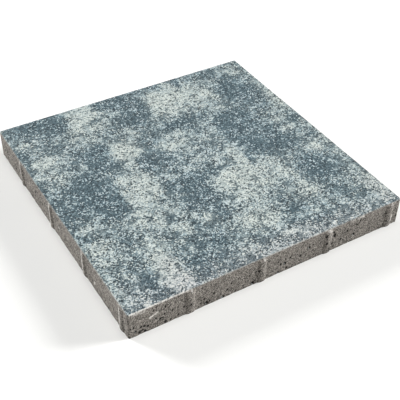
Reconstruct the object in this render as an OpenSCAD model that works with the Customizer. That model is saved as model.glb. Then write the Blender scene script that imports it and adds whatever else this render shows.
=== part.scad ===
// Square concrete paving slab with spacer ribs pressed onto its four sides.
// The origin is the middle of the bed face, and +Z points up to the wearing face.
// All sizes are in millimetres.

/* [Slab] */
// Length of each side of the square, measured between the ribs
slab_side = 498; // [300:1:600]
// Thickness from the bed face to the wearing face
slab_thickness = 50; // [35:1:80]
// Radius of the four upright corners
corner_radius = 3; // [3:0.5:8]
// Leg of the 45 degree chamfer round the wearing face
arris = 1.5; // [0.5:0.1:2.5]

/* [Spacer ribs] */
// Number of ribs on each side
ribs_per_side = 4; // [2:1:6]
// Height of a rib above its side, which is the width of the laid joint
rib_projection = 2; // [1:0.1:5]
// Width of a rib where it leaves the side
rib_width = 16; // [10:0.5:20]
// Distance from the corner to the middle of the rib nearest to it
rib_end_gap = 22; // [18:0.5:30]
// Bare strip between the chamfer and the top of a rib
rib_top_gap = 0.5; // [0:0.5:8]
// Height of the slope at the top of a rib
rib_lead_in = 5; // [2:0.5:12]

/* [Hidden] */
$fn = 64;

// Colour of the pigmented concrete as a whole
concrete_grey = "#87929a";

half_side = slab_side / 2;
straight_length = slab_side - 2 * corner_radius;
side_height = slab_thickness - arris;

// One slab's ribs bear on the plain side of the next, so a laid row repeats at the side plus one
// joint. Dividing that by the number of ribs puts each rib between two ribs of its neighbour.
laying_module = slab_side + rib_projection;
rib_pitch = laying_module / ribs_per_side;
last_rib_x = half_side - rib_end_gap;

// A rib is the segment of a round bar that stands out of the side.
rib_radius = (pow(rib_width / 2, 2) + pow(rib_projection, 2)) / (2 * rib_projection);
rib_top = side_height - rib_top_gap;
rib_full_height = rib_top - rib_lead_in;
// Depth to which a rib is rooted in the slab
rib_root = 1;

// Upright section through the slab, with the chamfer on both upper edges
module slab_section() {
    polygon([
        [-half_side, 0],
        [half_side, 0],
        [half_side, side_height],
        [half_side - arris, slab_thickness],
        [arris - half_side, slab_thickness],
        [-half_side, side_height]
    ]);
}

// Slab between one pair of rounded corners and the other
module slab_length() {
    rotate([90, 0, 0])
        linear_extrude(height = straight_length, center = true)
            slab_section();
}

// Rounded upright corner, with the chamfer carried round its top
module corner_post() {
    rotate_extrude()
        polygon([
            [0, 0],
            [corner_radius, 0],
            [corner_radius, side_height],
            [corner_radius - arris, slab_thickness],
            [0, slab_thickness]
        ]);
}

// Outline of a rib seen along the side: outwards to the right, with the slope at its top
module rib_outline() {
    polygon([
        [-rib_root, 0],
        [rib_projection, 0],
        [rib_projection, rib_full_height],
        [0, rib_top],
        [-rib_root, rib_top]
    ]);
}

// One spacer rib, standing out along -Y from a side that lies in the plane y = 0
module spacer_rib() {
    intersection() {
        translate([0, rib_radius - rib_projection, 0])
            cylinder(r = rib_radius, h = slab_thickness);
        rotate([90, 0, -90])
            linear_extrude(height = 2 * rib_radius, center = true)
                rib_outline();
    }
}

// The ribs of the side that faces -Y
module side_ribs() {
    for (i = [0 : ribs_per_side - 1])
        translate([last_rib_x - i * rib_pitch, -half_side, 0])
            spacer_rib();
}

// The whole slab, pressed as one piece
module slab() {
    color(concrete_grey)
        union() {
            for (turn = [0, 90])
                rotate(turn)
                    slab_length();
            for (turn = [0 : 90 : 270])
                rotate(turn) {
                    translate([half_side - corner_radius, half_side - corner_radius, 0])
                        corner_post();
                    side_ribs();
                }
        }
}

slab();
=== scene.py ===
# %% [markdown]
# # A pressed concrete paving slab
# The object is one square slab for paths and terraces, half a metre wide. A press squeezes damp
# concrete into a steel mould. The upper face gets a coloured mix, the sides stay bare, and upright
# ribs on the sides keep the joints open when slabs are laid.
#
# The CAD model gives the exact sizes. This lesson makes a finer skin over it, with pores, a worn
# edge and two concretes, and then lights it as in a studio. Lengths in Blender are metres.

# %% Load the CAD model as a fixed frame
import math

import bpy
import numpy as np
from mathutils import Matrix, Vector, noise


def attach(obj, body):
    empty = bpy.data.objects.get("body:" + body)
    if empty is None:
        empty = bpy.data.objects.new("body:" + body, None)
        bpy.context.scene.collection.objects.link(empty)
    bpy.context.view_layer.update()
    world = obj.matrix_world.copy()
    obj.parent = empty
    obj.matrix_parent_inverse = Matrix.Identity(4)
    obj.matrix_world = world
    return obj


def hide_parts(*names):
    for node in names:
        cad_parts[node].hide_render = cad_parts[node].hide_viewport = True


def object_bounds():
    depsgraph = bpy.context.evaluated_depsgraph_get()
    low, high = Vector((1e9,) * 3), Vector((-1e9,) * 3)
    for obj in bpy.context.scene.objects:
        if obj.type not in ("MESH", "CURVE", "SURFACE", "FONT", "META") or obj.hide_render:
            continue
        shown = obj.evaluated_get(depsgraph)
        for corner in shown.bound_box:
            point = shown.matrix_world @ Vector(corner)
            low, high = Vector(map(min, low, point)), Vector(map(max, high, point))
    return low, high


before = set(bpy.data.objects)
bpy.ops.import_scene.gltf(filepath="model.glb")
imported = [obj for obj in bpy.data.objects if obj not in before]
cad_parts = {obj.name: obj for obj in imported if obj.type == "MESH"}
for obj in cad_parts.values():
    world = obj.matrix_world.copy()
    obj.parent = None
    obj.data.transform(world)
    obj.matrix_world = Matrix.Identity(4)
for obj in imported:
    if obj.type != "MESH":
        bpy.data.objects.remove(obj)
cad_low, cad_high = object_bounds()
MM = 0.001
print("CAD nodes:", len(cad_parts), "box in mm:", [round(v / MM, 1) for v in cad_high - cad_low])

# %% [markdown]
# ## Sizes
# A mould maker thinks in a few driving sizes, and the rest follows from them. The ribs set the joint,
# so the plain side of the slab lies one rib height inside the CAD box. Each side has the same ribs,
# counted from its right-hand end, so that the ribs of two slabs never meet head on.

# %% Driving sizes of the slab
RIB_HEIGHT = 2 * MM
RIB_WIDTH = 16 * MM
RIB_END_GAP = 22 * MM
RIBS_PER_SIDE = 4
RIB_LEAD_IN = 5 * MM
RIB_TOP_GAP = 0.5 * MM
ARRIS = 1.5 * MM
CORNER_RADIUS = 3 * MM

HALF_SIDE = cad_high.x - RIB_HEIGHT
THICKNESS = cad_high.z - cad_low.z
SIDE_HEIGHT = THICKNESS - ARRIS
RIB_PITCH = (2 * HALF_SIDE + RIB_HEIGHT) / RIBS_PER_SIDE
LAST_RIB = HALF_SIDE - RIB_END_GAP
RIB_TOP = SIDE_HEIGHT - RIB_TOP_GAP
print("side", round(2 * HALF_SIDE / MM, 1), "mm, rib pitch", round(RIB_PITCH / MM, 1), "mm")

# %% [markdown]
# ## Three helpers
# Colours are easiest to pick as sRGB hex values, but shaders calculate with linear light, so one
# function converts them. Another turns a size in millimetres into a texture's scale. The third adds a
# node, sets its options and fills its inputs. An input may get a plain value, a socket or a whole node,
# whose first live output is then used.


# %% Colour and node helpers
def linear(hex_colour):
    """sRGB hex to linear RGBA."""
    parts = [int(hex_colour[i : i + 2], 16) / 255 for i in (1, 3, 5)]
    curve = [c / 12.92 if c <= 0.04045 else ((c + 0.055) / 1.055) ** 2.4 for c in parts]
    return (*curve, 1.0)


def per_mm(size):
    """Texture scale that gives features of about this many millimetres."""
    return 1 / (size * MM)


def add(tree, kind, sockets=None, stops=None, **options):
    """Adds a node with its options, its inputs and, on a colour ramp, its stops.

    The prefix ShaderNode, which most kinds share, is left out.
    """
    node = tree.nodes.new(kind if "Node" in kind else "ShaderNode" + kind)
    for option, value in options.items():
        setattr(node, option, value)
    for key, value in (sockets or {}).items():
        live = [s for s in node.inputs if s.enabled]
        socket = live[key] if isinstance(key, int) else next(s for s in live if s.name == key)
        if isinstance(value, bpy.types.Node):
            value = next(s for s in value.outputs if s.enabled)
        if isinstance(value, bpy.types.NodeSocket):
            tree.links.new(value, socket)
        else:
            socket.default_value = value
    for i, (position, hex_colour) in enumerate(stops or []):
        elements = node.color_ramp.elements
        element = elements[i] if i < len(elements) else elements.new(position)
        element.position = position
        element.color = linear(hex_colour)
    return node


print("pale grey in linear light:", [round(c, 3) for c in linear("#c3cecd")])

# %% [markdown]
# ## The coloured wearing face
# The upper face is a face mix: white cement, slate-blue pigment and fine grit, dropped in handfuls and
# pressed. It dries matt, in clouds of cream and slate whose borders break up into specks and grains.
#
# An image could show that, but nodes stay sharp at any distance. A value on the mesh says where the
# big clouds lie. A ragged noise is added, and a steep step turns the sum into two mixes with torn
# borders. Voronoi cells then make every grain a little paler or darker, with dark gaps between, and a
# slow noise gives some handfuls more grit than others. A second set of cells scatters a few stray
# grains, black or white. Two colour ramps, one cool and one warm, give the colours. A second value on
# the mesh leads from one to the other, with a little chance for each grain. A third one tints the front
# rosy, and the edge is rubbed pale.

# %% Pigmented face mix: matt, mottled, gritty
# Dry pressed concrete scatters light evenly, so the eye sees no gloss, only soft clouds and sharp grains.
# The real grit is under a millimetre. It is drawn two to three times coarser, so that a render shows it.
SLATE_MIX = [
    (0.00, "#172a32"),
    (0.25, "#394e56"),
    (0.50, "#566b73"),
    (0.75, "#7d9197"),
    (1.00, "#a7b6bb"),
]
CREAM_MIX = [
    (0.00, "#263134"),
    (0.25, "#4e5a5e"),
    (0.50, "#747f7e"),
    (0.75, "#9ca5a2"),
    (1.00, "#c1c7c0"),
]
# Cells whose random number is under 0.08 become black grains, and those over 0.95 white ones.
STRAY_GRAINS = [(0.08, "#000000"), (0.09, "#bcbcbc"), (0.94, "#bcbcbc"), (0.95, "#ffffff")]
ROSY_TINT = "#fff7fc"
WORN_EDGE = "#969894"
# Pale colour of the white scrapes and of the painted highlights on the ribs
SCRAPE_AND_HIGHLIGHT_COLOUR = "#ebe8e2"
# Sizes of the patterns in millimetres
RAGGED_SIZE = 26
HANDFUL_SIZE = 14
GRIT_SIZE = 1.9
STRAY_SIZE = 2.6
# Clouds and ragged noise against each other, a lead for the slate, and the half width of the step
CLOUD_SHARE = 0.7
RAGGED_SHARE = 7.0
RAGGED_DETAIL = 0.82
SLATE_LEAD = 0.15
STEP = 0.45
# Places of the two mixes on the colour ramps, and how far each effect moves a grain along them
SLATE_TONE = 0.29
CREAM_TONE = 0.7
HAZE_SHARE = 0.06
STRAY_SHARE = 1.0
GAP_SHARE = 0.5
GAP_MIDDLE = 0.45
# A grain's random number is raised to a power, so that few grains are far from the middle tone.
GRIT_POWER = 3.0
GRIT_LEAST = 2.0
GRIT_MOST = 14.0
FEW_GRIT, MUCH_GRIT = 0.35, 0.65
HUE_SHARE = 0.8
EDGE_DEPTH = 0.1 * MM
EDGE_WEAR = 0.6
FACE_SCRAPE_AND_HIGHLIGHT_FROM, FACE_SCRAPE_AND_HIGHLIGHT_TO = 0.05, 0.35
GRIT_RELIEF = 0.4 * MM
GRIT_BUMP = 0.4
FACE_ROUGHNESS = (0.78, 0.95)
CONCRETE_IOR = 1.5
print("patterns of the face in mm:", RAGGED_SIZE, HANDFUL_SIZE, STRAY_SIZE, GRIT_SIZE)


# %% Nodes of the face mix
def pigmented_face_mix():
    """Slate and cream concrete with torn borders, single grains and a pale edge."""
    material = bpy.data.materials.new("pigmented_face_mix")
    material.use_nodes = True
    tree = material.node_tree
    tree.nodes.clear()
    place = add(tree, "TexCoord").outputs["Object"]
    height = add(tree, "SeparateXYZ", {0: place}).outputs["Z"]
    cloud = add(tree, "Attribute", attribute_name="cloud").outputs["Fac"]
    warmth = add(tree, "Attribute", attribute_name="warmth").outputs["Fac"]
    blush = add(tree, "Attribute", attribute_name="blush").outputs["Fac"]
    scrape_and_highlight = add(tree, "Attribute", attribute_name="scrape_and_highlight").outputs["Fac"]
    ragged = add(
        tree,
        "TexNoise",
        {"Vector": place, "Scale": per_mm(RAGGED_SIZE), "Detail": 4.0, "Roughness": RAGGED_DETAIL},
    )
    grit = add(tree, "TexVoronoi", {"Vector": place, "Scale": per_mm(GRIT_SIZE)}, voronoi_dimensions="2D")
    grain = add(tree, "SeparateColor", {0: grit.outputs["Color"]}).outputs
    middle = -0.5 * RAGGED_SHARE - SLATE_LEAD
    torn = add(tree, "Math", {0: ragged, 1: RAGGED_SHARE, 2: middle}, operation="MULTIPLY_ADD")
    border = add(tree, "Math", {0: cloud, 1: CLOUD_SHARE, 2: torn}, operation="MULTIPLY_ADD")
    dark, pale = (tone - 0.5 * STRAY_SHARE for tone in (SLATE_TONE, CREAM_TONE))
    share = add(
        tree,
        "MapRange",
        {"Value": border, "From Min": -STEP, "From Max": STEP, "To Min": dark, "To Max": pale},
        interpolation_type="SMOOTHSTEP",
    )
    gaps = add(
        tree,
        "Math",
        {0: grit.outputs["Distance"], 1: -GAP_SHARE, 2: GAP_MIDDLE * GAP_SHARE},
        operation="MULTIPLY_ADD",
    )
    packed = add(tree, "Math", {0: share, 1: gaps}, operation="ADD")
    hazy = add(tree, "Math", {0: cloud, 1: HAZE_SHARE, 2: packed}, operation="MULTIPLY_ADD")
    flakes = add(tree, "TexVoronoi", {"Vector": place, "Scale": per_mm(STRAY_SIZE)})
    draw = add(tree, "SeparateColor", {0: flakes.outputs["Color"]}).outputs["Red"]
    sorted_grains = add(tree, "ValToRGB", {"Fac": draw}, stops=STRAY_GRAINS)
    strayed = add(tree, "Math", {0: sorted_grains, 1: STRAY_SHARE, 2: hazy}, operation="MULTIPLY_ADD")
    handful = add(tree, "TexNoise", {"Vector": place, "Scale": per_mm(HANDFUL_SIZE), "Detail": 1.0})
    grit_share = add(
        tree,
        "MapRange",
        {
            "Value": handful,
            "From Min": FEW_GRIT,
            "From Max": MUCH_GRIT,
            "To Min": GRIT_LEAST,
            "To Max": GRIT_MOST,
        },
    )
    own_tone = add(tree, "Math", {0: grain["Red"], 1: 0.5}, operation="SUBTRACT")
    rare_tone = add(tree, "Math", {0: own_tone, 1: GRIT_POWER}, operation="POWER")
    tone = add(tree, "Math", {0: rare_tone, 1: grit_share, 2: strayed}, operation="MULTIPLY_ADD")
    slate = add(tree, "ValToRGB", {"Fac": tone}, stops=SLATE_MIX)
    cream = add(tree, "ValToRGB", {"Fac": tone}, stops=CREAM_MIX)
    own_hue = add(
        tree,
        "Math",
        {0: grain["Blue"], 1: HUE_SHARE, 2: -0.5 * HUE_SHARE},
        operation="MULTIPLY_ADD",
    )
    warm = add(tree, "Math", {0: warmth, 1: own_hue}, operation="ADD")
    colour = add(tree, "Mix", {"Factor": warm, "A": slate, "B": cream}, data_type="RGBA")
    rosy = add(
        tree,
        "Mix",
        {"Factor": blush, "A": colour, "B": linear(ROSY_TINT)},
        data_type="RGBA",
        blend_type="MULTIPLY",
    )
    edge = add(
        tree,
        "MapRange",
        {
            "Value": height,
            "From Min": THICKNESS - EDGE_DEPTH,
            "From Max": SIDE_HEIGHT,
            "To Max": EDGE_WEAR,
        },
    )
    worn = add(tree, "Mix", {"Factor": edge, "A": rosy, "B": linear(WORN_EDGE)}, data_type="RGBA")
    # Scrapes on the arris, and the painted rib highlights where they reach the chamfer
    patchy = add(tree, "MapRange", {"Value": grain["Red"], "From Min": FACE_SCRAPE_AND_HIGHLIGHT_FROM, "From Max": FACE_SCRAPE_AND_HIGHLIGHT_TO})
    scrape_and_highlight_mask = add(tree, "Math", {0: scrape_and_highlight, 1: patchy}, operation="MULTIPLY")
    with_scrapes_and_highlights = add(tree, "Mix", {"Factor": scrape_and_highlight_mask, "A": worn, "B": linear(SCRAPE_AND_HIGHLIGHT_COLOUR)}, data_type="RGBA")
    relief = {"Height": grit.outputs["Distance"], "Strength": GRIT_BUMP, "Distance": GRIT_RELIEF}
    bump = add(tree, "Bump", relief, invert=True)
    least, most = FACE_ROUGHNESS
    dull = add(tree, "MapRange", {"Value": grain["Red"], "To Min": least, "To Max": most})
    finish = {"Base Color": with_scrapes_and_highlights, "Roughness": dull, "IOR": CONCRETE_IOR, "Normal": bump}
    shader = add(tree, "BsdfPrincipled", finish)
    add(tree, "OutputMaterial", {"Surface": shader})
    return material


face_mix = pigmented_face_mix()
print(face_mix.name, len(face_mix.node_tree.nodes), "nodes")

# %% [markdown]
# ## The bare sides and bed
# The sides and the underside are plain pressed concrete. Cement skin, sand and air make it a warm,
# mottled grey with open pores, which get painted shade. Its pores are finer near the top, where the mix
# was worked most, and coarser at the foot. Its colour is paler towards the top, and painted contact shade
# darkens the lowest few millimetres. Where something rubbed along it, the skin is scraped white, and the
# ribs carry painted highlights on their crests and lead-ins.
#
# A photograph of concrete could be wrapped round the sides, but it would repeat and blur. Here Voronoi
# cells stand for the sand again, and a rough noise for stains. A wider set of cells gives pin-holes, which
# the mesh doesn't dent: half of the cells have a dot of painted shade round their middle, each of its own
# size, smaller towards the top. The dented pores get the same painted shade.

# %% Bare pressed concrete: warm grey, sandy, porous
# Bare cement has no pigment and no gloss, so it looks warm, dusty and dull beside the face.
# Sand of half a millimetre is drawn more than twice as coarse, so that a render shows it.
SIDE_COLOURS = [
    (0.00, "#262420"),
    (0.20, "#46433e"),
    (0.40, "#66625c"),
    (0.52, "#756f68"),
    (0.66, "#837d76"),
    (0.82, "#948e87"),
    (1.00, "#a5a099"),
]
# Painted shade in the dented pores and in the pin-holes
PORE_SHADE_COLOUR = "#1b1815"
# Sizes of the patterns in millimetres
SAND_SIZE = 1.3
STAIN_SIZE = 22
PIN_HOLE_SPACING = 6
# How far sand, stains, the pale rim and the painted contact shade at the foot move a point along the colour
# ramp
SAND_SHARE = 1.5
STAIN_SHARE = 0.6
STAIN_DETAIL = 0.95
RIM_HEIGHT = 12 * MM
RIM_LIFT = 0.1
# The foot's drop is painted contact shade along the bottom edge
FOOT_SHADE_HEIGHT = 3 * MM
FOOT_SHADE_DROP = -0.25
# Largest radius of a pin-hole at the foot and at the top, as a share of the spacing
LOW_PIN_HOLE = 0.26
HIGH_PIN_HOLE = 0.08
PIN_HOLE_CHANCE = 0.5
PIN_HOLE_EDGE = 20.0
PORE_SHADE_STRENGTH = 4.0
SIDE_SCRAPE_AND_HIGHLIGHT_FROM, SIDE_SCRAPE_AND_HIGHLIGHT_TO = 0.1, 0.5
SAND_RELIEF = 0.5 * MM
SAND_BUMP = 0.3
SIDE_ROUGHNESS = (0.85, 1.0)
print("patterns of the sides in mm:", STAIN_SIZE, PIN_HOLE_SPACING, SAND_SIZE)


# %% Nodes of the bare concrete
def bare_pressed_concrete():
    """Warm grey concrete with sand, stains, white scrapes, painted shade in pores, pin-holes and at the
    foot, and painted rib highlights.
    """
    material = bpy.data.materials.new("bare_pressed_concrete")
    material.use_nodes = True
    tree = material.node_tree
    tree.nodes.clear()
    place = add(tree, "TexCoord").outputs["Object"]
    height = add(tree, "SeparateXYZ", {0: place}).outputs["Z"]
    pore = add(tree, "Attribute", attribute_name="pore").outputs["Fac"]
    scrape_and_highlight = add(tree, "Attribute", attribute_name="scrape_and_highlight").outputs["Fac"]
    sand = add(tree, "TexVoronoi", {"Vector": place, "Scale": per_mm(SAND_SIZE)})
    stain = add(
        tree,
        "TexNoise",
        {"Vector": place, "Scale": per_mm(STAIN_SIZE), "Detail": 4.0, "Roughness": STAIN_DETAIL},
    )
    middle = 0.5 * (1 - STAIN_SHARE - SAND_SHARE)
    grains = add(
        tree,
        "Math",
        {0: sand.outputs["Color"], 1: SAND_SHARE, 2: middle},
        operation="MULTIPLY_ADD",
    )
    tone = add(tree, "Math", {0: stain, 1: STAIN_SHARE, 2: grains}, operation="MULTIPLY_ADD")
    rim_start = THICKNESS - RIM_HEIGHT
    rim = add(
        tree,
        "MapRange",
        {"Value": height, "From Min": rim_start, "From Max": THICKNESS, "To Max": RIM_LIFT},
    )
    # Painted contact shade on the lowest few millimetres of the sides and on the bed
    foot = add(
        tree,
        "MapRange",
        {"Value": height, "From Max": FOOT_SHADE_HEIGHT, "To Min": FOOT_SHADE_DROP, "To Max": 0.0},
    )
    ends = add(tree, "Math", {0: rim, 1: foot}, operation="ADD")
    lift = add(tree, "Math", {0: tone, 1: ends}, operation="ADD")
    colour = add(tree, "ValToRGB", {"Fac": lift}, stops=SIDE_COLOURS)

    # Pin-holes: dots of painted shade where the mesh has no dent
    cells = add(tree, "TexVoronoi", {"Vector": place, "Scale": per_mm(PIN_HOLE_SPACING)})
    dot = add(
        tree,
        "MapRange",
        {"Value": height, "From Max": THICKNESS, "To Min": LOW_PIN_HOLE, "To Max": HIGH_PIN_HOLE},
    )
    draw = add(tree, "SeparateColor", {0: cells.outputs["Color"]}).outputs["Red"]
    lot = add(tree, "MapRange", {"Value": draw, "From Min": PIN_HOLE_CHANCE})
    own_dot = add(tree, "Math", {0: dot, 1: lot}, operation="MULTIPLY")
    inside = add(tree, "Math", {0: own_dot, 1: cells.outputs["Distance"]}, operation="SUBTRACT")
    pin_hole_shade = add(tree, "Math", {0: inside, 1: PIN_HOLE_EDGE}, operation="MULTIPLY", use_clamp=True)
    # Painted shade in the pores that the mesh dents
    painted_pore_shade = add(tree, "Math", {0: pore, 1: PORE_SHADE_STRENGTH}, operation="MULTIPLY", use_clamp=True)
    dark = add(tree, "Math", {0: pin_hole_shade, 1: painted_pore_shade}, operation="MAXIMUM")
    hollow = add(tree, "Mix", {"Factor": dark, "A": colour, "B": linear(PORE_SHADE_COLOUR)}, data_type="RGBA")
    own = sand.outputs["Color"]
    # White scrapes, and painted highlights on the crests and lead-ins of the ribs
    patchy = add(tree, "MapRange", {"Value": own, "From Min": SIDE_SCRAPE_AND_HIGHLIGHT_FROM, "From Max": SIDE_SCRAPE_AND_HIGHLIGHT_TO})
    scrape_and_highlight_mask = add(tree, "Math", {0: scrape_and_highlight, 1: patchy}, operation="MULTIPLY")
    with_scrapes_and_highlights = add(tree, "Mix", {"Factor": scrape_and_highlight_mask, "A": hollow, "B": linear(SCRAPE_AND_HIGHLIGHT_COLOUR)}, data_type="RGBA")
    bump = add(tree, "Bump", {"Height": own, "Strength": SAND_BUMP, "Distance": SAND_RELIEF})
    least, most = SIDE_ROUGHNESS
    dull = add(tree, "MapRange", {"Value": own, "To Min": least, "To Max": most})
    finish = {"Base Color": with_scrapes_and_highlights, "Roughness": dull, "IOR": CONCRETE_IOR, "Normal": bump}
    shader = add(tree, "BsdfPrincipled", finish)
    add(tree, "OutputMaterial", {"Surface": shader})
    return material


bare_concrete = bare_pressed_concrete()
print(bare_concrete.name, len(bare_concrete.node_tree.nodes), "nodes")

# %% [markdown]
# ## The skin
# The slab's skin is a stack of closed loops: in from the bed, up the side, over the chamfer and in
# across the top. Each loop is the same rounded square, set in by a little. The loops are fine, because
# the sides carry ribs and pores, and their columns are one millimetre wide, so that one falls on each
# edge of a rib. The two broad faces are flat, so they get a grid four times coarser, and the ring
# between changes from four cells to one.

# %% Loops and grids of the skin
CELLS = 123
COLUMNS = 4 * CELLS
ARC_STEPS = 4
BED_INSET = 1 * MM
RIM_INSET = 2.4 * MM
GRID_INSET = 8 * MM
SIDE_ROWS = 25


def rounded_square(inset, z):
    """One loop, anticlockwise from above, which starts at the left end of the front side."""
    reach = HALF_SIDE - CORNER_RADIUS
    radius = CORNER_RADIUS - inset
    side = [(-reach + 2 * reach * k / COLUMNS, -reach - radius) for k in range(COLUMNS)]
    for k in range(ARC_STEPS):
        angle = math.radians(90 * k / ARC_STEPS - 90)
        side.append((reach + radius * math.cos(angle), -reach + radius * math.sin(angle)))
    turns = [(1, 0), (0, 1), (-1, 0), (0, -1)]
    return [(c * x - s * y, s * x + c * y, z) for c, s in turns for x, y in side]


def grid_points(z):
    """The points of one broad face, row by row."""
    half = HALF_SIDE - GRID_INSET
    steps = [-half + 2 * half * k / CELLS for k in range(CELLS + 1)]
    return [(x, y, z) for y in steps for x in steps]


def grid_edge(start):
    """The grid's border in the loop's order: for each side, its points from left to right."""
    last = CELLS
    wide = CELLS + 1
    front = [start + k for k in range(wide)]
    right = [start + k * wide + last for k in range(wide)]
    back = [start + last * wide + last - k for k in range(wide)]
    left = [start + (last - k) * wide for k in range(wide)]
    return [front, right, back, left]


def broad_face(ring, grid):
    """Faces of one grid and of the ring that joins it to a loop, seen from above."""
    wide = CELLS + 1
    faces = []
    for j in range(CELLS):
        for i in range(CELLS):
            a = grid + j * wide + i
            faces.append((a, a + 1, a + 1 + wide, a + wide))
    per_side = COLUMNS + ARC_STEPS
    loop = 4 * per_side
    for side, edge in enumerate(grid_edge(grid)):
        first = side * per_side
        for k in range(CELLS):
            o = [ring + (first + 4 * k + n) % loop for n in range(5)]
            inner, after = edge[k], edge[k + 1]
            faces.append((o[0], o[1], inner))
            faces.append((o[1], o[2], inner))
            faces.append((o[2], after, inner))
            faces.append((o[2], o[3], after))
            faces.append((o[3], o[4], after))
        for k in range(ARC_STEPS):
            o = first + COLUMNS + k
            faces.append((ring + o % loop, ring + (o + 1) % loop, edge[-1]))
    return faces


print("points in a loop:", len(rounded_square(0, 0)), "and in a grid:", len(grid_points(0)))


# %% Skin mesh
def slab_skin():
    """The whole skin: loops from the bed up to the top, and a grid on each broad face."""
    rows = [(RIM_INSET, 0), (BED_INSET, 0)]
    rows += [(0, SIDE_HEIGHT * k / SIDE_ROWS) for k in range(SIDE_ROWS + 1)]
    rows += [(ARRIS / 2, THICKNESS - ARRIS / 2), (ARRIS, THICKNESS), (RIM_INSET, THICKNESS)]
    points = [p for inset, z in rows for p in rounded_square(inset, z)]
    loop = 4 * (COLUMNS + ARC_STEPS)
    faces = []
    for r in range(len(rows) - 1):
        for k in range(loop):
            a, b = r * loop + k, r * loop + (k + 1) % loop
            faces.append((a, b, b + loop, a + loop))
    top_grid = len(points)
    points += grid_points(THICKNESS)
    faces += broad_face((len(rows) - 1) * loop, top_grid)
    bed_grid = len(points)
    points += grid_points(0)
    faces += [tuple(reversed(f)) for f in broad_face(0, bed_grid)]
    mesh = bpy.data.meshes.new("slab_skin")
    mesh.from_pydata(points, [], faces)
    mesh.validate()
    return mesh


skin = bpy.data.objects.new("slab_skin", slab_skin())
bpy.context.scene.collection.objects.link(skin)
print("skin:", len(skin.data.vertices), "points,", len(skin.data.polygons), "faces")

# %% [markdown]
# ## Spacer ribs
# Ribs repeat along every side by one rule, so Geometry Nodes raise them from the skin. For each point
# the tree finds which side it is on and how far along that side it lies. Wrapping that length by the
# rib pitch gives the distance from the nearest rib. The rib's section is a segment of a circle, and
# its top slopes back to the side, so that a slab slides down past its neighbour.


# %% Geometry Nodes: ribs
def new_tree(name, sizes):
    """An empty tree with a geometry input and output and one named number for each size."""
    tree = bpy.data.node_groups.new(name, "GeometryNodeTree")
    tree.interface.new_socket("Geometry", in_out="INPUT", socket_type="NodeSocketGeometry")
    tree.interface.new_socket("Geometry", in_out="OUTPUT", socket_type="NodeSocketGeometry")
    for label in sizes:
        tree.interface.new_socket(label, in_out="INPUT", socket_type="NodeSocketFloat")
    return tree


def use_tree(obj, tree, sizes):
    """Puts the tree on an object and sets each size by its socket's identifier."""
    modifier = obj.modifiers.new(tree.name, "NODES")
    modifier.node_group = tree
    for item in tree.interface.items_tree:
        if item.in_out == "INPUT" and item.name in sizes:
            modifier[item.identifier] = sizes[item.name]


RIB_SIZES = {
    "Half side": HALF_SIDE,
    "Rib pitch": RIB_PITCH,
    "Last rib": LAST_RIB,
    "Rib height": RIB_HEIGHT,
    "Rib radius": ((RIB_WIDTH / 2) ** 2 + RIB_HEIGHT**2) / (2 * RIB_HEIGHT),
    "Rib top": RIB_TOP,
    "Lead-in": RIB_LEAD_IN,
}
SIDE_MARGIN = 0.1 * MM


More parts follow.
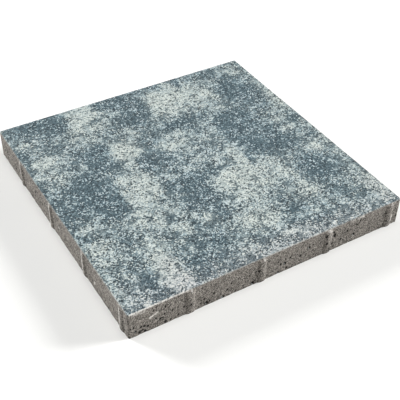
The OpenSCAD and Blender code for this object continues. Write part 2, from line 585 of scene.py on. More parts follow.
def rib_tree():
    """Pushes the points of each side outwards where a rib stands."""
    tree = new_tree("spacer_ribs", RIB_SIZES)
    given = add(tree, "NodeGroupInput").outputs
    place = add(tree, "GeometryNodeInputPosition")
    axis = add(tree, "SeparateXYZ", {0: place}).outputs
    size_x = add(tree, "Math", {0: axis["X"]}, operation="ABSOLUTE")
    size_y = add(tree, "Math", {0: axis["Y"]}, operation="ABSOLUTE")
    on_x = add(tree, "Math", {0: size_x, 1: size_y}, operation="GREATER_THAN")
    on_y = add(tree, "Math", {0: 1.0, 1: on_x}, operation="SUBTRACT")
    sign_x = add(tree, "Math", {0: axis["X"]}, operation="SIGN")
    sign_y = add(tree, "Math", {0: axis["Y"]}, operation="SIGN")
    out_x = add(tree, "Math", {0: on_x, 1: sign_x}, operation="MULTIPLY")
    out_y = add(tree, "Math", {0: on_y, 1: sign_y}, operation="MULTIPLY")
    outward = add(tree, "CombineXYZ", {"X": out_x, "Y": out_y})
    back_y = add(tree, "Math", {0: out_y, 1: -1.0}, operation="MULTIPLY")
    along_side = add(tree, "CombineXYZ", {"X": back_y, "Y": out_x})
    along = add(tree, "VectorMath", {0: place, 1: along_side}, operation="DOT_PRODUCT")

    from_last = add(
        tree, "Math", {0: along.outputs["Value"], 1: given["Last rib"]}, operation="SUBTRACT"
    )
    half_pitch = add(tree, "Math", {0: given["Rib pitch"], 1: 0.5}, operation="MULTIPLY")
    minus_half = add(tree, "Math", {0: half_pitch, 1: -1.0}, operation="MULTIPLY")
    off = add(tree, "Math", {0: from_last, 1: half_pitch, 2: minus_half}, operation="WRAP")
    off_squared = add(tree, "Math", {0: off, 1: off}, operation="MULTIPLY")
    radius_squared = add(
        tree, "Math", {0: given["Rib radius"], 1: given["Rib radius"]}, operation="MULTIPLY"
    )
    under_root = add(tree, "Math", {0: radius_squared, 1: off_squared}, operation="SUBTRACT")
    not_less = add(tree, "Math", {0: under_root, 1: 0.0}, operation="MAXIMUM")
    arc = add(tree, "Math", {0: not_less}, operation="SQRT")
    sunk = add(tree, "Math", {0: given["Rib radius"], 1: given["Rib height"]}, operation="SUBTRACT")
    section = add(tree, "Math", {0: arc, 1: sunk}, operation="SUBTRACT")

    below_top = add(tree, "Math", {0: given["Rib top"], 1: axis["Z"]}, operation="SUBTRACT")
    slope = add(tree, "Math", {0: given["Rib height"], 1: given["Lead-in"]}, operation="DIVIDE")
    lead = add(tree, "Math", {0: below_top, 1: slope}, operation="MULTIPLY")
    lower = add(tree, "Math", {0: section, 1: lead}, operation="MINIMUM")
    raised = add(tree, "Math", {0: lower, 1: 0.0}, operation="MAXIMUM")

    reach = add(tree, "Math", {0: size_x, 1: size_y}, operation="MAXIMUM")
    plane = add(tree, "Math", {0: given["Half side"], 1: SIDE_MARGIN}, operation="SUBTRACT")
    on_side = add(tree, "Math", {0: reach, 1: plane}, operation="GREATER_THAN")
    push = add(tree, "Math", {0: raised, 1: on_side}, operation="MULTIPLY")
    offset = add(tree, "VectorMath", {0: outward, "Scale": push}, operation="SCALE")
    moved = add(tree, "GeometryNodeSetPosition", {"Geometry": given["Geometry"], "Offset": offset})
    real = add(tree, "GeometryNodeRealizeInstances", {"Geometry": moved})
    coated = add(tree, "GeometryNodeSetMaterial", {"Geometry": real, "Material": bare_concrete})
    add(tree, "NodeGroupOutput", {"Geometry": coated})
    return tree


use_tree(skin, rib_tree(), RIB_SIZES)
print("rib radius", round(RIB_SIZES["Rib radius"] / MM, 2), "mm")

# %% [markdown]
# ## Pores, crumbs and a worn edge
# Air trapped against the mould leaves pores, mostly low on the side. Cutting each one out by hand would
# take hours, so a tree scatters seeded points over the sides and dents the skin round each of them.
# The larger pores are given in a list. They are set on the skin first, so that those on a rib follow it,
# and are dented in the same way. Two noises add sandy unevenness, and the lowest few millimetres and
# the chamfer crumble more than the rest. The depth of each pore is stored on the points, so that the
# material can darken it with painted shade.

# %% Chosen pores as points with a radius
# Place along the side, height and radius, in millimetres
CHOSEN_PORES = {
    "front": [
        (-246, 20, 1.5),
        (-241, 20, 1.6),
        (-238, 10, 2.2),
        (-232, 5, 2.5),
        (-229, 15, 1.9),
        (-227, 8, 1.8),
        (-224, 14, 2.0),
        (-223, 3, 2.5),
        (-218, 11, 2.2),
        (-205, 19, 1.8),
        (-198, 15, 2.1),
        (-194, 16, 1.5),
        (-191, 21, 1.9),
        (-190, 4, 2.5),
        (-178, 22, 1.6),
        (-181, 4, 2.0),
        (-159, 18, 1.9),
        (-148, 18, 2.1),
        (-121, 5, 3.6),
        (-108, 19, 2.0),
        (-93, 2, 3.0),
        (-39, 4, 3.5),
        (-28, 25, 2.2),
        (8, 2, 2.5),
        (12, 18, 2.0),
        (20, 16, 2.8),
        (24, 5, 2.4),
        (30, 24, 1.8),
        (49, 18, 1.8),
        (65, 28, 2.8),
        (98, 36, 2.1),
        (100, 21, 2.4),
        (111, 15, 1.8),
        (115, 31, 3.0),
        (113, 38, 1.8),
        (129, 16, 2.1),
        (141, 28, 2.1),
        (155, 15, 2.9),
        (160, 33, 1.6),
        (244, 15, 2.1),
    ],
    "left": [
        (216, 11, 2.0),
        (193, 8, 2.2),
        (183, 20, 2.0),
        (178, 14, 1.9),
        (173, 9, 2.0),
        (107, 5, 2.1),
        (89, 24, 2.9),
        (59, 19, 1.6),
        (-185, 3, 3.0),
    ],
}


def chosen_pores():
    """One point for each chosen pore, with its radius as an attribute."""
    plane = -HALF_SIDE / MM
    places = [(along, plane, up) for along, up, radius in CHOSEN_PORES["front"]]
    places += [(plane, along, up) for along, up, radius in CHOSEN_PORES["left"]]
    mesh = bpy.data.meshes.new("chosen_pores")
    mesh.from_pydata([Vector(place) * MM for place in places], [], [])
    sizes = mesh.attributes.new("pore_radius", "FLOAT", "POINT")
    sizes.data.foreach_set("value", [pore[-1] * MM for side in CHOSEN_PORES.values() for pore in side])
    return bpy.data.objects.new("chosen_pores", mesh)


pore_marks = chosen_pores()
print(len(pore_marks.data.vertices), "chosen pores")

# %% Geometry Nodes: pores and wear
WEAR_SIZES = {
    "Pores per square metre": 3500.0,
    "Smallest pore": 0.6 * MM,
    "Largest pore": 1.8 * MM,
    "Pore depth share": 0.7,
    "Sand height": 0.25 * MM,
    "Crumb depth": 1.2 * MM,
    "Thickness": THICKNESS,
}
PORE_SEED = 7
HIGH_PORE_SHARE = 0.05
SAND_WAVE = 5
LUMP_WAVE = 13
BITE_FROM, BITE_TO = 0.48, 0.72
CRUMBLY_FOOT = 4 * MM
CRUMBLY_TOP = (2.5 * MM, 0.7 * MM)
TOP_CRUMB_SHARE = 0.4
CREASE = math.radians(18)
# Upward part of a face's direction: under the first it is a side, over the last it is the upper face.
UPRIGHT, SLOPING, LEVEL = 0.5, 0.9, 0.55


def wear_tree():
    """Dents pores, crumbles the edges, stores the pores and gives each face its concrete."""
    tree = new_tree("pores_and_wear", WEAR_SIZES)
    given = add(tree, "NodeGroupInput").outputs
    place = add(tree, "GeometryNodeInputPosition")
    facing = add(tree, "GeometryNodeInputNormal")
    height = add(tree, "SeparateXYZ", {0: place}).outputs["Z"]
    up = add(tree, "SeparateXYZ", {0: facing}).outputs["Z"]
    steep = add(tree, "Math", {0: up}, operation="ABSOLUTE")
    upright = add(tree, "Math", {0: steep, 1: UPRIGHT}, operation="LESS_THAN")

    share = add(
        tree,
        "MapRange",
        {"Value": height, "From Max": given["Thickness"], "To Min": 1.0, "To Max": HIGH_PORE_SHARE},
    )
    dense = add(tree, "Math", {0: share, 1: given["Pores per square metre"]}, operation="MULTIPLY")
    scattered = add(
        tree,
        "GeometryNodeDistributePointsOnFaces",
        {"Mesh": given["Geometry"], "Selection": upright, "Density": dense, "Seed": PORE_SEED},
    )
    width = add(
        tree,
        "FunctionNodeRandomValue",
        {"Min": given["Smallest pore"], "Max": given["Largest pore"], "Seed": PORE_SEED},
    )
    small = add(tree, "GeometryNodeSetPointRadius", {"Points": scattered, "Radius": width})
    marks = add(tree, "GeometryNodeObjectInfo", {"Object": pore_marks}).outputs["Geometry"]
    mark_size = add(tree, "GeometryNodeInputNamedAttribute", {"Name": "pore_radius"})
    on_skin = add(
        tree, "GeometryNodeProximity", {"Geometry": given["Geometry"], "Sample Position": place}
    )
    seated = add(tree, "GeometryNodeSetPosition", {"Geometry": marks, "Position": on_skin})
    large = add(tree, "GeometryNodeMeshToPoints", {"Mesh": seated, "Radius": mark_size})

    pore_width = add(tree, "GeometryNodeInputRadius")
    pore_sets, dent_sets = [], []
    for pores in (small, large):
        nearest = add(tree, "GeometryNodeSampleNearest", {"Geometry": pores, "Sample Position": place})
        middle = add(
            tree,
            "GeometryNodeSampleIndex",
            {"Geometry": pores, "Value": place, "Index": nearest},
            data_type="FLOAT_VECTOR",
        )
        radius = add(
            tree, "GeometryNodeSampleIndex", {"Geometry": pores, "Value": pore_width, "Index": nearest}
        )
        away = add(tree, "VectorMath", {0: place, 1: middle}, operation="DISTANCE")
        ratio = add(tree, "Math", {0: away.outputs["Value"], 1: radius}, operation="DIVIDE")
        bowl = add(tree, "Math", {0: ratio, 1: ratio}, operation="MULTIPLY")
        hollow = add(tree, "Math", {0: 1.0, 1: bowl}, operation="SUBTRACT", use_clamp=True)
        pore_sets.append(add(tree, "Math", {0: hollow, 1: upright}, operation="MULTIPLY"))
        deep = add(tree, "Math", {0: radius, 1: given["Pore depth share"]}, operation="MULTIPLY")
        dent_sets.append(add(tree, "Math", {0: pore_sets[-1], 1: deep}, operation="MULTIPLY"))
    pore = add(tree, "Math", {0: pore_sets[0], 1: pore_sets[1]}, operation="MAXIMUM")
    dent = add(tree, "Math", {0: dent_sets[0], 1: dent_sets[1]}, operation="MAXIMUM")

    sand = add(tree, "TexNoise", {"Vector": place, "Scale": per_mm(SAND_WAVE), "Detail": 2.0})
    rough = add(tree, "Math", {0: sand, 1: 0.5}, operation="SUBTRACT")
    sandy = add(tree, "Math", {0: rough, 1: given["Sand height"]}, operation="MULTIPLY")
    lumps = add(tree, "TexNoise", {"Vector": place, "Scale": per_mm(LUMP_WAVE), "Detail": 3.0})
    bite = add(tree, "MapRange", {"Value": lumps, "From Min": BITE_FROM, "From Max": BITE_TO})
    low = add(
        tree,
        "MapRange",
        {"Value": height, "From Max": CRUMBLY_FOOT, "To Min": 1.0, "To Max": 0.0},
    )
    start, full = (THICKNESS - depth for depth in CRUMBLY_TOP)
    high = add(
        tree,
        "MapRange",
        {"Value": height, "From Min": start, "From Max": full, "To Max": TOP_CRUMB_SHARE},
    )
    fragile = add(tree, "Math", {0: low, 1: high}, operation="ADD")
    crumbly = add(tree, "Math", {0: bite, 1: fragile}, operation="MULTIPLY")
    crumb = add(tree, "Math", {0: crumbly, 1: given["Crumb depth"]}, operation="MULTIPLY")

    lost = add(tree, "Math", {0: dent, 1: crumb}, operation="ADD")
    change = add(tree, "Math", {0: sandy, 1: lost}, operation="SUBTRACT")
    on_side = add(tree, "Math", {0: steep, 1: SLOPING}, operation="LESS_THAN")
    kept = add(tree, "Math", {0: change, 1: on_side}, operation="MULTIPLY")
    flat = add(tree, "VectorMath", {0: facing, 1: (1.0, 1.0, 0.0)}, operation="MULTIPLY")
    offset = add(tree, "VectorMath", {0: flat, "Scale": kept}, operation="SCALE")
    marked = add(
        tree,
        "GeometryNodeStoreNamedAttribute",
        {"Geometry": given["Geometry"], "Name": "pore", "Value": pore},
    )
    worn = add(tree, "GeometryNodeSetPosition", {"Geometry": marked, "Offset": offset})

    smooth = add(tree, "GeometryNodeSetShadeSmooth", {"Geometry": worn, "Shade Smooth": True})
    angle = add(tree, "GeometryNodeInputMeshEdgeAngle")
    sharp = add(tree, "Math", {0: angle, 1: CREASE}, operation="GREATER_THAN")
    creased = add(
        tree,
        "GeometryNodeSetShadeSmooth",
        {"Geometry": smooth, "Selection": sharp, "Shade Smooth": False},
        domain="EDGE",
    )
    real = add(tree, "GeometryNodeRealizeInstances", {"Geometry": creased})
    sides = add(tree, "GeometryNodeSetMaterial", {"Geometry": real, "Material": bare_concrete})
    level = add(tree, "Math", {0: up, 1: LEVEL}, operation="GREATER_THAN")
    faced = add(
        tree,
        "GeometryNodeSetMaterial",
        {"Geometry": sides, "Selection": level, "Material": face_mix},
    )
    add(tree, "NodeGroupOutput", {"Geometry": faced})
    return tree


use_tree(skin, wear_tree(), WEAR_SIZES)
print("pores and wear ready, seed", PORE_SEED)

# %% [markdown]
# ## From nodes to a plain mesh
# The evaluated skin becomes an ordinary mesh, which every program can read. The skin with its
# modifiers and the pore points are only tools, so they are removed.

# %% Finished slab
graph = bpy.context.evaluated_depsgraph_get()
mesh = bpy.data.meshes.new_from_object(skin.evaluated_get(graph), depsgraph=graph)
mesh.name = "paving_slab"
slab = bpy.data.objects.new("paving_slab", mesh)
bpy.context.scene.collection.objects.link(slab)
bpy.data.objects.remove(skin)
bpy.data.objects.remove(pore_marks)
triangles = sum(len(p.vertices) - 2 for p in mesh.polygons)
print("slab:", triangles, "triangles,", [m.name for m in mesh.materials])

# %% [markdown]
# ## Where the clouds lie
# Each handful of pale or dark mix leaves a soft patch on the upper face. A noise would put the patches
# anywhere, so they are listed one by one, as a painter places them: the middle, the half widths and how
# pale it is, from slate below zero to cream above. Noises bend their outlines, the patches are added up
# on the mesh, and the material breaks them into grains. Shorter lists warm, cool or tint whole areas.

# %% Clouds of pale and dark mix, in millimetres
CLOUDS = [
    # Broad clouds
    (-185, 225, 65, 45, -0.6),
    (-105, 205, 50, 55, 0.6),
    (-25, 190, 45, 75, -0.7),
    (75, 185, 80, 55, 0.9),
    (190, 150, 60, 90, -0.45),
    (220, 220, 40, 35, 0.2),
    (-220, 100, 45, 45, 0.35),
    (-140, 90, 45, 45, -0.5),
    (-80, 85, 40, 45, 0.7),
    (45, 110, 70, 25, -0.4),
    (25, 60, 60, 45, 0.35),
    (130, 60, 55, 60, -0.7),
    (-180, 5, 60, 75, -0.8),
    (-105, -20, 45, 60, 0.7),
    (-50, 35, 35, 40, -0.4),
    (70, 0, 50, 50, 0.3),
    (175, -20, 75, 45, -0.6),
    (-30, -70, 45, 75, -0.7),
    (65, -75, 85, 55, 0.9),
    (215, -60, 35, 30, 0.4),
    (180, -120, 50, 70, -0.5),
    (-105, -95, 70, 35, 0.3),
    (-225, -120, 40, 50, 0.4),
    (-155, -190, 35, 70, 0.6),
    (-200, -200, 30, 55, -0.3),
    (-85, -190, 65, 50, -0.5),
    (30, -165, 60, 50, 0.3),
    (95, -185, 50, 40, -0.4),
    (235, -190, 30, 70, 0.4),
    # Strips along the left and right edges
    (-244, 30, 15, 190, -0.7),
    (244, 30, 12, 180, 0.3),
    # Back left quarter
    (-225, 225, 32, 28, -0.5),
    (-185, 232, 30, 25, -0.7),
    (-152, 218, 20, 42, -1.2),
    (-175, 192, 25, 16, -0.7),
    (-225, 183, 16, 9, 0.9),
    (-238, 158, 18, 16, -0.8),
    (-198, 168, 18, 14, -0.4),
    (-120, 225, 20, 32, 0.7),
    (-90, 228, 20, 32, 1.0),
    (-133, 182, 18, 18, 1.2),
    (-142, 159, 22, 7, 0.9),
    (-105, 200, 14, 12, 0.6),
    (-86, 191, 14, 6, -0.9),
    (-95, 173, 12, 11, 0.7),
    (-118, 145, 18, 12, 0.5),
    (-85, 148, 16, 12, -0.5),
    (-60, 235, 12, 20, -0.7),
    (-46, 195, 14, 9, 0.7),
    (-25, 218, 22, 38, -1.0),
    (-20, 165, 25, 35, -1.0),
    (-58, 165, 18, 20, -0.5),
    (-48, 128, 9, 22, 0.8),
    (-118, 112, 18, 14, -0.9),
    (-152, 118, 24, 20, -0.4),
    (-220, 123, 26, 19, 1.1),
    (-182, 145, 14, 20, -0.6),
    (-160, 138, 12, 14, -0.4),
    (-240, 90, 12, 14, 0.7),
    (-213, 88, 14, 10, 0.3),
    (-207, 61, 11, 10, 1.1),
    (-180, 95, 20, 18, -0.3),
    (-163, 80, 10, 8, 0.8),
    (-135, 85, 20, 30, -1.0),
    (-120, 55, 22, 14, -0.8),
    (-85, 85, 24, 28, 1.2),
    (-65, 75, 14, 12, 0.8),
    (-90, 38, 15, 28, 0.5),
    (-65, 38, 16, 28, -0.8),
    (-35, 92, 22, 22, -0.5),
    (-12, 64, 20, 20, 0.7),
    (-32, 38, 16, 18, -0.6),
    (-180, 20, 28, 42, -1.1),
    (-146, 12, 12, 20, -0.9),
    (-218, 20, 28, 25, -0.4),
    (-160, 38, 6, 12, 0.8),
    (-120, 12, 16, 14, 0.9),
    (-95, 8, 18, 16, 0.9),
    # Back right quarter
    (20, 240, 22, 14, -0.8),
    (60, 238, 14, 12, -0.7),
    (85, 228, 12, 28, 0.9),
    (101, 232, 9, 22, -1.4),
    (130, 235, 22, 14, -0.3),
    (170, 235, 25, 18, -0.7),
    (40, 215, 12, 12, 0.9),
    (48, 190, 28, 18, 1.3),
    (88, 185, 16, 20, 0.8),
    (135, 170, 16, 16, 1.1),
    (142, 150, 10, 12, 0.9),
    (108, 165, 12, 9, 0.6),
    (85, 158, 10, 8, -0.6),
    (40, 150, 28, 18, 0.6),
    (108, 138, 12, 9, 0.6),
    (135, 121, 10, 9, 0.7),
    (163, 205, 10, 8, 0.7),
    (218, 208, 14, 12, 0.9),
    (210, 240, 14, 10, -0.6),
    (185, 150, 32, 52, -0.7),
    (205, 150, 12, 25, -0.4),
    (238, 140, 14, 45, 0.5),
    (3, 190, 10, 40, -0.9),
    (30, 112, 35, 14, -0.9),
    (85, 112, 14, 12, -0.4),
    (20, 86, 22, 14, 0.6),
    (50, 92, 14, 10, -1.0),
    (57, 70, 12, 10, -0.9),
    (72, 92, 6, 12, 0.5),
    (15, 62, 25, 12, 0.8),
    (85, 65, 20, 14, 0.5),
    (58, 47, 14, 8, 0.9),
    (18, 35, 22, 16, 0.3),
    (85, 40, 14, 16, 0.3),
    (115, 80, 22, 30, -1.1),
    (112, 36, 18, 20, -1.1),
    (150, 85, 18, 20, -0.9),
    (178, 28, 14, 10, -0.8),
    (205, 40, 16, 14, 0.7),
    (205, 10, 20, 10, 1.0),
    (235, 28, 18, 16, -0.9),
    (243, 88, 10, 25, 1.0),
    (200, 90, 28, 22, -0.5),
    (115, 6, 20, 14, -0.9),
    (165, 8, 22, 12, -0.7),
    (15, 5, 20, 10, 0.7),
    (80, 8, 14, 12, 0.7),
    # Front left quarter
    (-168, -35, 30, 36, -1.2),
    (-225, -20, 25, 25, -0.6),
    (-228, -62, 18, 8, 0.8),
    (-235, -85, 16, 12, -0.7),
    (-132, -25, 10, 28, 0.7),
    (-135, -68, 16, 12, 1.1),
    (-92, -22, 18, 26, 1.2),
    (-110, -45, 14, 16, 0.5),
    (-145, -87, 22, 7, 1.0),
    (-120, -104, 8, 18, 1.1),
    (-88, -63, 12, 5, -0.9),
    (-52, -65, 14, 7, 0.9),
    (-45, -17, 12, 9, 0.8),
    (-62, -35, 12, 22, -0.6),
    (-12, -8, 8, 10, 0.9),
    (-22, -45, 24, 28, -1.0),
    (-20, -86, 22, 25, -1.0),
    (-98, -105, 10, 12, -0.8),
    (-98, -128, 14, 10, 0.9),
    (-90, -141, 10, 14, 0.9),
    (-50, -135, 8, 14, 1.1),
    (-70, -142, 10, 14, -0.8),
    (-62, -95, 16, 14, -0.6),
    (-20, -135, 20, 25, -0.9),
    (-228, -113, 20, 13, 1.1),
    (-232, -142, 14, 10, 0.9),
    (-200, -85, 16, 14, -0.4),
    (-182, -110, 14, 16, -0.7),
    (-182, -155, 12, 14, -0.7),
    (-148, -138, 22, 22, 0.3),
    (-157, -185, 16, 22, 1.1),
    (-150, -225, 18, 28, 1.3),
    (-192, -208, 12, 18, -1.0),
    (-215, -178, 10, 14, 0.5),
    (-240, -200, 9, 22, 0.6),
    (-213, -240, 10, 10, 1.0),
    (-110, -160, 8, 8, 0.9),
    (-105, -182, 8, 8, 0.9),
    (-108, -203, 18, 10, -0.9),
    (-62, -182, 20, 18, -0.9),
    (-110, -235, 16, 12, -0.7),
    (-70, -232, 14, 8, -0.5),
    (-25, -215, 22, 20, 0.2),
    # Front right quarter
    (60, -172, 170, 24, 0.25),
    (25, -33, 30, 10, -0.8),
    (55, -38, 10, 8, -0.7),
    (40, -8, 16, 12, 0.6),
    (78, -20, 16, 28, 0.9),
    (97, -35, 8, 28, -1.4),
    (45, -70, 26, 20, 1.3),
    (35, -50, 10, 10, 0.9),
    (88, -72, 18, 16, 0.8),
    (130, -95, 16, 14, 1.1),
    (135, -112, 10, 10, 1.0),
    (85, -100, 24, 12, 0.7),
    (35, -115, 28, 20, 0.6),
    (132, -140, 8, 14, 0.9),
    (130, -162, 18, 9, 0.9),
    (82, -155, 10, 16, -0.8),
    (85, -182, 22, 10, -0.9),
    (8, -172, 14, 12, 1.0),
    (38, -190, 16, 10, 0.9),
    (112, -200, 12, 8, 0.8),
    (45, -220, 18, 9, 1.0),
    (115, -222, 18, 14, -0.7),
    (68, -208, 8, 10, -0.7),
    (178, -115, 28, 35, -0.8),
    (195, -130, 10, 20, -0.5),
    (175, -182, 24, 25, -0.6),
    (175, -25, 28, 25, -1.1),
    (125, -20, 18, 25, -0.8),
    (128, -60, 20, 12, 0.3),
    (157, -70, 8, 8, 0.8),
    (212, -65, 12, 16, 0.9),
    (208, -22, 10, 10, 0.5),
    (230, -32, 12, 10, -0.8),
    (242, -60, 8, 20, 0.5),
    (238, -200, 14, 45, 0.7),
    (208, -205, 8, 12, -0.6),
]
WARM_PATCHES = [
    (50, 195, 40, 30, 0.5),
    (-80, 85, 35, 30, 0.5),
    (50, -70, 45, 25, 0.6),
    (20, -175, 40, 25, 0.6),
    (-155, -210, 25, 60, 1.0),
    (238, 95, 20, 40, 0.7),
    (-215, -225, 45, 45, 0.4),
    (0, 240, 190, 45, -0.3),
    (238, -205, 25, 50, 0.9),
    (20, -240, 220, 30, 0.8),
    (125, -155, 35, 25, 0.5),
    (-165, 15, 55, 70, -0.3),
    (40, 20, 170, 130, -0.3),
    (195, 170, 45, 60, -0.5),
    (190, -105, 45, 45, -0.5),
    (140, 30, 70, 70, -0.4),
    (-130, 90, 40, 45, -0.4),
]
ROSY_PATCHES = [
    (20, -262, 330, 62, 0.8),
    (-152, -218, 30, 60, 0.5),
    (-215, -225, 50, 50, 0.4),
    (238, -205, 30, 50, 0.4),
]
print(len(CLOUDS), "clouds,", len(WARM_PATCHES), "warm or cool areas,", len(ROSY_PATCHES), "rosy ones")

# %% Bent clouds, stored on the mesh
# How far two noises bend an outline, how long their waves are and where the fine one is cut, in mm
BEND = 6
FINE_BEND = 3.6
WIDE_WAVE = 45
FINE_WAVE = 17
FINE_LAYER = 60
# Without a seed, the bending noise starts from the clock and differs in each run.
BEND_SEED = 2
noise.seed_set(BEND_SEED)
# Warmth where no cloud or patch lies, and how far those two change it
MIDDLE_WARMTH = 0.5
WARMTH_BY_CLOUD = 0.4
WARMTH_BY_PATCH = 0.5


def bent(x, y):
    """A point pushed aside by two noises, in millimetres."""
    wide = noise.noise_vector(Vector((x, y, 0)) / WIDE_WAVE)
    fine = noise.noise_vector(Vector((x, y, FINE_LAYER)) / FINE_WAVE)
    return x + BEND * wide.x + FINE_BEND * fine.x, y + BEND * wide.y + FINE_BEND * fine.y


def patch_sum(patches, x, y):
    """The patches added up at these points."""
    amount = np.zeros_like(x)
    for middle_x, middle_y, half_x, half_y, strength in patches:
        far = ((x - middle_x) / half_x) ** 2 + ((y - middle_y) / half_y) ** 2
        amount += strength * np.clip(1 - far, 0, 1)
    return amount


def store(name, values):
    """Keeps one number per point on the mesh, for the materials."""
    layer = mesh.attributes.new(name, "FLOAT", "POINT")
    layer.data.foreach_set("value", values.astype(np.float32))


points = np.array([v.co for v in mesh.vertices]) / MM
bent_x, bent_y = np.array([bent(x, y) for x, y, z in points]).T
paleness = np.clip(patch_sum(CLOUDS, bent_x, bent_y), -1, 1)
store("cloud", paleness)
warmth = MIDDLE_WARMTH + WARMTH_BY_CLOUD * paleness
warmth += WARMTH_BY_PATCH * patch_sum(WARM_PATCHES, bent_x, bent_y)
store("warmth", np.clip(warmth, 0, 1))
store("blush", np.clip(patch_sum(ROSY_PATCHES, bent_x, bent_y), 0, 1))
print("paleness from", round(float(paleness.min()), 2), "to", round(float(paleness.max()), 2))

# %% [markdown]
# ## Scrapes and painted rib highlights on the sides
# A slab is lifted, stacked and slid past its neighbours, which leaves white scrapes on its sides and its
# arris. The pale lines on the crests and lead-ins of the ribs are painted highlights. Each one is a short
# line along a side, with a half width and a strength. It is stored on the mesh rather than modelled,
# because it has no depth, and the sand in the material breaks it up.

# %% Scrapes and painted rib highlights, in millimetres along and up a side
SCRAPES_AND_HIGHLIGHTS = [
    # Rubbed arris
    ("front", -249, 49.3, -152, 49.3, 1.5, 1.0),
    ("front", -140, 49.3, -30, 49.3, 1.4, 0.15),
    ("front", -10, 49.3, 120, 49.3, 1.4, 0.25),
    ("left", -240, 49.3, -140, 49.3, 1.4, 0.25),
    # Knocks just under it
    ("front", -241, 46, -233, 46, 3.0, 0.4),
    ("front", -229, 44, -222, 44, 3.0, 0.4),
    ("front", 148, 46, 154, 46, 2.4, 0.4),
    ("front", 160, 45.5, 172, 46.5, 2.6, 0.8),
    # Ribs: painted highlights on crests and lead-ins
    ("front", -146, 44, -146, 47, 2.6, 0.5),
    ("front", -20, 44, -20, 47, 2.6, 0.6),
    ("front", 102, 46, 107, 44, 3.4, 0.6),
    ("front", 107, 28, 107, 36, 1.8, 0.2),
    ("front", 231, 44, 231, 47, 2.6, 0.5),
    ("front", 234, 8, 235, 22, 2.0, 0.7),
    ("left", 151, 6, 151, 44, 4.0, 0.6),
    ("left", 26, 2, 26, 46, 4.0, 0.7),
    ("left", 26, 6, 26, 14, 2.5, 1.0),
    ("left", 26, 32, 26, 42, 2.5, 1.0),
    ("left", -99, 2, -99, 45, 4.0, 0.5),
    ("left", -99, 12, -99, 30, 2.0, 1.0),
    ("left", -224, 5, -224, 42, 3.5, 0.6),
    # Ribs of the two sides at the back, with painted highlights on their crests
    ("right", 227, 6, 227, 40, 3.5, 0.3),
    ("right", 102, 14, 102, 45, 3.5, 0.34),
    ("right", -23, 3, -23, 38, 3.5, 0.26),
    ("right", -148, 10, -148, 46, 3.5, 0.32),
    ("back", -227, 8, -227, 44, 3.5, 0.32),
    ("back", -102, 3, -102, 36, 3.5, 0.28),
    ("back", 23, 12, 23, 46, 3.5, 0.34),
    ("back", 148, 5, 148, 42, 3.5, 0.26),
    # Single marks
    ("front", -214, 26, -202, 31, 1.9, 1.0),
    ("left", -9, 22, -9, 26, 2.0, 0.8),
    ("left", -139, 13, -139, 17, 2.4, 0.8),
]


def scrape_and_highlight_amount(points):
    """Strength of the white scrapes and painted rib highlights at each point, from 0 to 1."""
    amount = np.zeros(len(points))
    x, y, up = points.T
    half = HALF_SIDE / MM
    along_and_inside = {
        "front": (x, half + y),
        "left": (y, half + x),
        "back": (x, half - y),
        "right": (y, half - x),
    }
    for side, start, low, end, high, half_width, strength in SCRAPES_AND_HIGHLIGHTS:
        along, inside = along_and_inside[side]
        length = math.hypot(end - start, high - low)
        step = np.clip(((along - start) * (end - start) + (up - low) * (high - low)) / length**2, 0, 1)
        off = np.hypot(along - start - step * (end - start), up - low - step * (high - low))
        near = np.clip(1 - (off**2 + np.maximum(inside, 0) ** 2) / half_width**2, 0, 1)
        amount = np.maximum(amount, strength * near)
    return amount


store("scrape_and_highlight", scrape_and_highlight_amount(points))
print(len(SCRAPES_AND_HIGHLIGHTS), "scrapes")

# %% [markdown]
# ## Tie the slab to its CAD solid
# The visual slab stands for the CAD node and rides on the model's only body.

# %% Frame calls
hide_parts("slab")
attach(slab, "root")
print(slab.name, "replaces the CAD slab")

# %% [markdown]
# ## Floor and light
# A plain pale floor and soft light suit a matt block. The lamps are as far away as the sun, so that they
# light the floor evenly, and each fills a wide angle, so that shadows have soft borders. One comes low
# from the right and grazes the front side, the other from behind on the left, so each rib has a bright
# and a dark half. A weaker lamp shines from above, and a faint pale sky fills the shade.


# %% Stage and lamps
FLOOR_COLOUR = "#ededeb"
FLOOR_ROUGHNESS = 0.9
FLOOR_REACH = 40.0


def pale_floor():
    """A wide matt floor, which isn't part of the object."""
    material = bpy.data.materials.new("pale_floor")
    material.use_nodes = True
    shader = material.node_tree.nodes["Principled BSDF"]
    shader.inputs["Base Color"].default_value = linear(FLOOR_COLOUR)
    shader.inputs["Roughness"].default_value = FLOOR_ROUGHNESS
    reach = FLOOR_REACH
    mesh = bpy.data.meshes.new("floor")
    corners = [(-reach, -reach, 0), (reach, -reach, 0), (reach, reach, 0), (-reach, reach, 0)]
    mesh.from_pydata(corners, [], [(0, 1, 2, 3)])
    mesh.materials.append(material)
    floor = bpy.data.objects.new("floor", mesh)
    bpy.context.scene.collection.objects.link(floor)


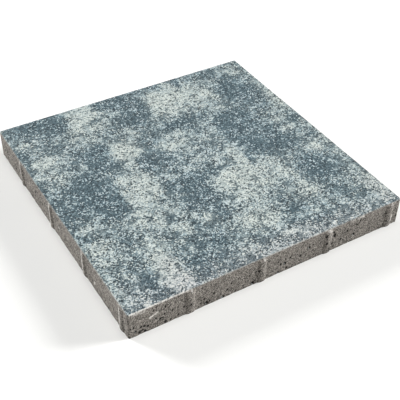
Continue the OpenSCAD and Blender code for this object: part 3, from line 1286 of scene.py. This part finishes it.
def soft_lamp(name, azimuth, elevation, spread, strength):
    """A far lamp that fills this many degrees. Azimuth 0 is in front of the slab, and 90 to its right."""
    a, e = math.radians(azimuth), math.radians(elevation)
    away = Vector((math.sin(a) * math.cos(e), -math.cos(a) * math.cos(e), math.sin(e)))
    data = bpy.data.lights.new(name, "SUN")
    data.angle = math.radians(spread)
    data.energy = strength
    lamp = bpy.data.objects.new(name, data)
    lamp.location = away
    lamp.rotation_euler = away.to_track_quat("Z", "Y").to_euler()
    bpy.context.scene.collection.objects.link(lamp)


def pale_sky(strength):
    """White light from all round."""
    world = bpy.data.worlds.new("pale_sky")
    world.use_nodes = True
    sky = world.node_tree.nodes["Background"]
    sky.inputs["Color"].default_value = linear("#ffffff")
    sky.inputs["Strength"].default_value = strength
    bpy.context.scene.world = world


pale_floor()
soft_lamp("right_lamp", azimuth=76, elevation=20, spread=24, strength=5.0)
soft_lamp("left_lamp", azimuth=-156, elevation=20, spread=24, strength=4.15)
soft_lamp("top_lamp", azimuth=0, elevation=88, spread=36, strength=1.0)
pale_sky(strength=0.15)
bpy.context.scene.view_settings.view_transform = "Standard"
print("3 lamps and a pale sky")

# %% [markdown]
# ## Camera
# The camera looks down on the near corner from the left of the front side, with a short telephoto lens.
# Its place is worked out from two angles and a distance, which are easier to match than three
# coordinates, and a small roll tilts the horizon as in a hand-held picture.

# %% Camera
CAMERA_AZIMUTH = -31.9
CAMERA_ELEVATION = 40.7
CAMERA_ROLL = 1.3
CAMERA_DISTANCE = 1.318
CAMERA_TARGET = Vector((-21.2, -64.8, 25)) * MM
LENS = 71.6


def photo_camera():
    """A camera that looks at the target from the azimuth and elevation above."""
    a, e, r = (math.radians(v) for v in (CAMERA_AZIMUTH, CAMERA_ELEVATION, CAMERA_ROLL))
    back = Vector((math.sin(a) * math.cos(e), -math.cos(a) * math.cos(e), math.sin(e)))
    level = Vector((math.cos(a), math.sin(a), 0))
    right = level * math.cos(r) + back.cross(level) * math.sin(r)
    axes = Matrix((right, back.cross(right), back)).transposed()
    camera = bpy.data.objects.new("camera", bpy.data.cameras.new("camera"))
    camera.data.lens = LENS
    camera.matrix_world = Matrix.Translation(CAMERA_TARGET + back * CAMERA_DISTANCE) @ axes.to_4x4()
    bpy.context.scene.collection.objects.link(camera)
    bpy.context.scene.camera = camera


photo_camera()
print("lens", LENS, "mm")
